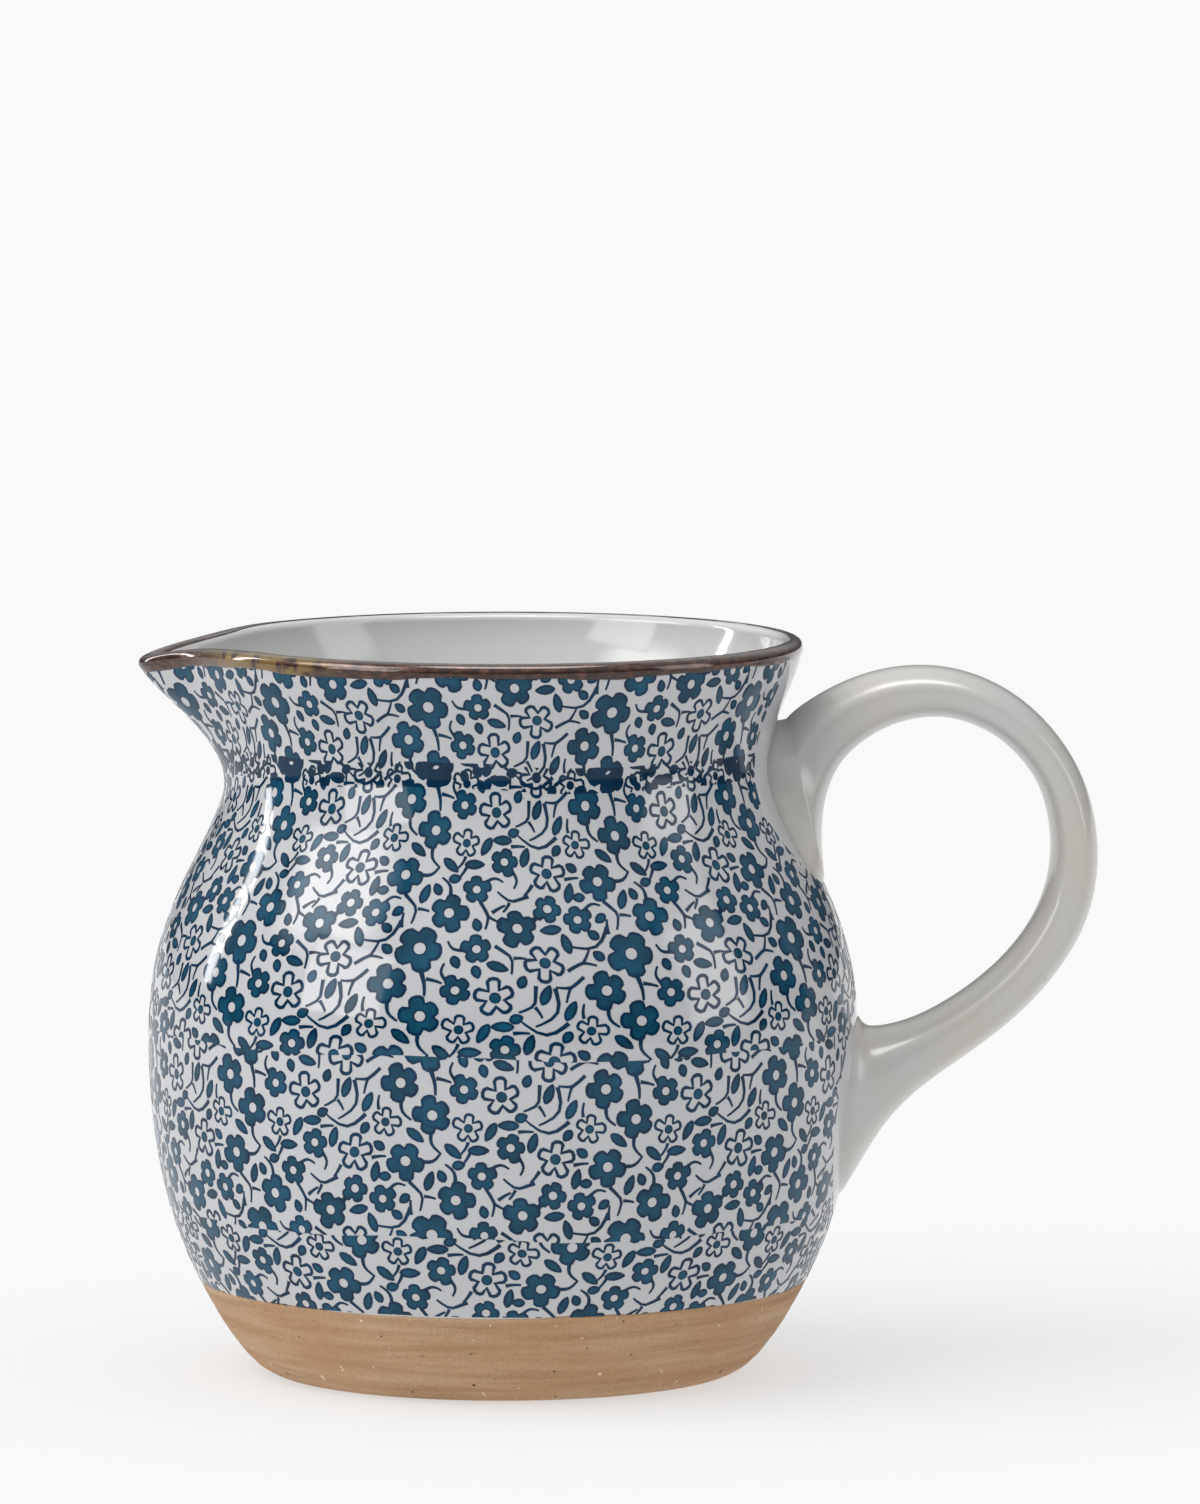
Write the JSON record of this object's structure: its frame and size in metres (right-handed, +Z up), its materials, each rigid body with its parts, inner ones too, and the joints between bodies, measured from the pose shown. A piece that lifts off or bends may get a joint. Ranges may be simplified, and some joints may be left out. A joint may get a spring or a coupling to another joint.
{
  "type": "cream jug",
  "caption": "Small bellied stoneware cream jug with a pulled pouring lip, a strap handle, white glaze, blue floral printed sheets and a bare clay foot.",
  "frame": {"origin": "on the axis of the thrown body, in the plane of its foot", "axes": "+Z up along the body's axis, +X from the axis to the handle, the pouring lip at -X"},
  "size_m": [0.1313, 0.0968, 0.1],
  "materials": {
    "bare_clay": "matte bare stoneware, turned",
    "slip": "dried clay slip",
    "white_glaze": "glossy white glaze",
    "lining_glaze": "glossy pale grey glaze",
    "handle_glaze": "glossy grey white glaze",
    "brown_lustre": "brown lustre band",
    "blue_print": "deep blue print under gloss"
  },
  "bodies": {
    "root": {"clay_body": "bare_clay", "handle": "bare_clay", "upper_handle_slip": "slip", "lower_handle_slip": "slip", "outer_glaze": "white_glaze", "inner_glaze": "lining_glaze", "handle_glaze": "handle_glaze", "rim_band": "brown_lustre", "neck_transfer": "blue_print", "shoulder_transfer": "blue_print", "belly_transfer": "blue_print", "foot_transfer": "blue_print"}
  },
  "joints": []
}
